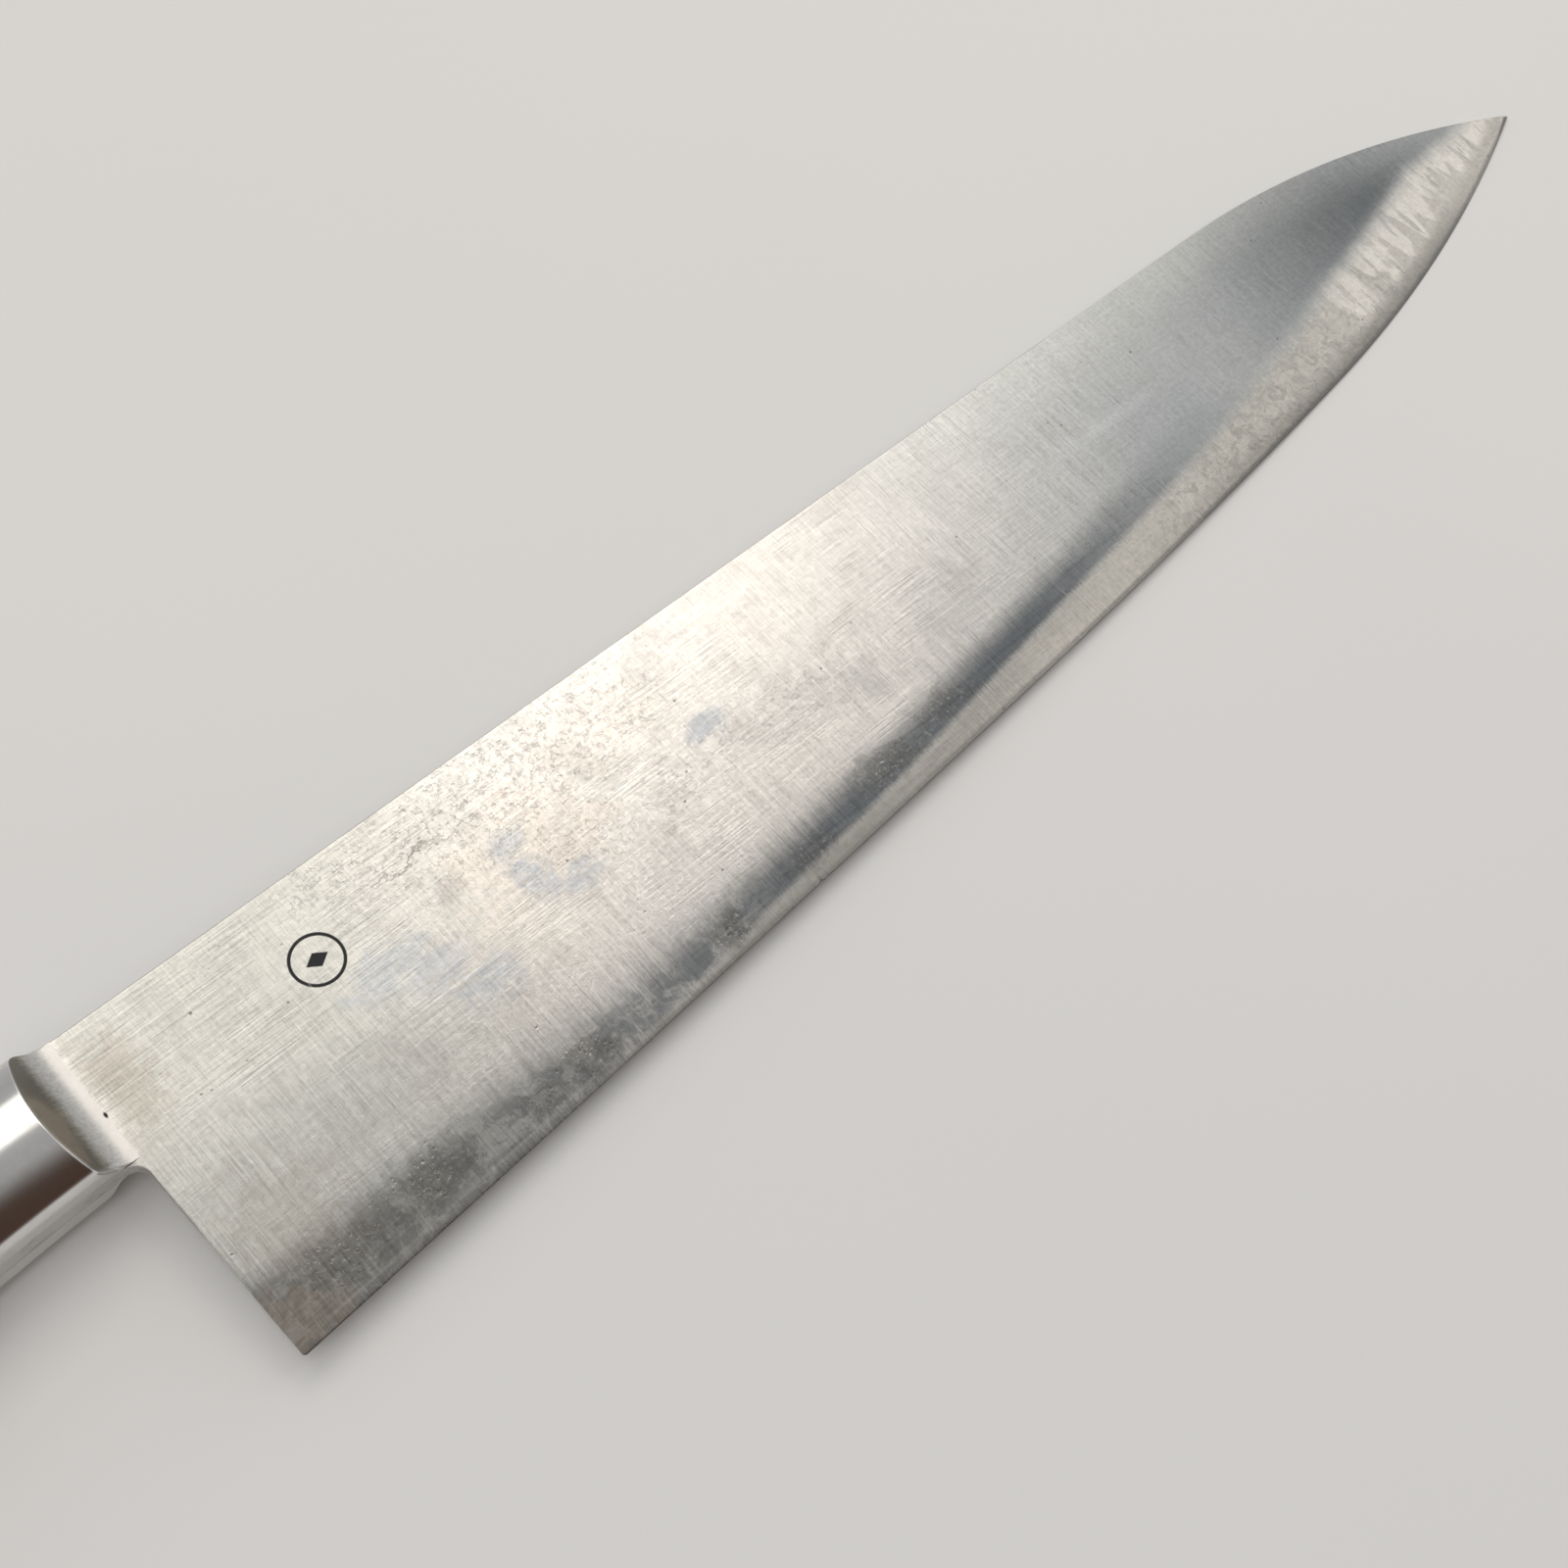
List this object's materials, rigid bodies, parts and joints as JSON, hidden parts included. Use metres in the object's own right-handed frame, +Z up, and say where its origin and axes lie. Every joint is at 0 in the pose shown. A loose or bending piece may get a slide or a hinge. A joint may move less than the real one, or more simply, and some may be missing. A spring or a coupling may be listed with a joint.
{
  "type": "chef knife",
  "caption": "Western-handled chef knife with a long, gently curved carbon-steel blade, a full tang, polished bolster cheeks and riveted wood scales.",
  "frame": {"origin": "middle of the underside of the bounding box, on the surface that the knife lies on", "axes": "+X from the butt to the tip, +Y from the cutting edge to the spine, +Z up off the surface, roughly through the thickness. The knife is at rest on its left side, so its own axes are turned 5.4 degrees about X and 1.53 degrees about Y"},
  "size_m": [0.3996, 0.0494, 0.0208],
  "materials": {
    "blade_steel": "satin ground carbon steel with hairline scratches, a faint patina and light pitting",
    "bolster_steel": "polished sides, satin flare",
    "handle_wood": "dark resin-stabilised wood, hand-rubbed semi-gloss",
    "rivet_steel": "ground flush and buffed"
  },
  "bodies": {
    "root": {"blade": "blade_steel", "right_bolster": "bolster_steel", "left_bolster": "bolster_steel", "right_scale": "handle_wood", "left_scale": "handle_wood", "front_rivet_socket": "rivet_steel", "front_rivet_pin": "rivet_steel", "middle_rivet_socket": "rivet_steel", "middle_rivet_pin": "rivet_steel", "rear_rivet_socket": "rivet_steel", "rear_rivet_pin": "rivet_steel"}
  },
  "joints": []
}
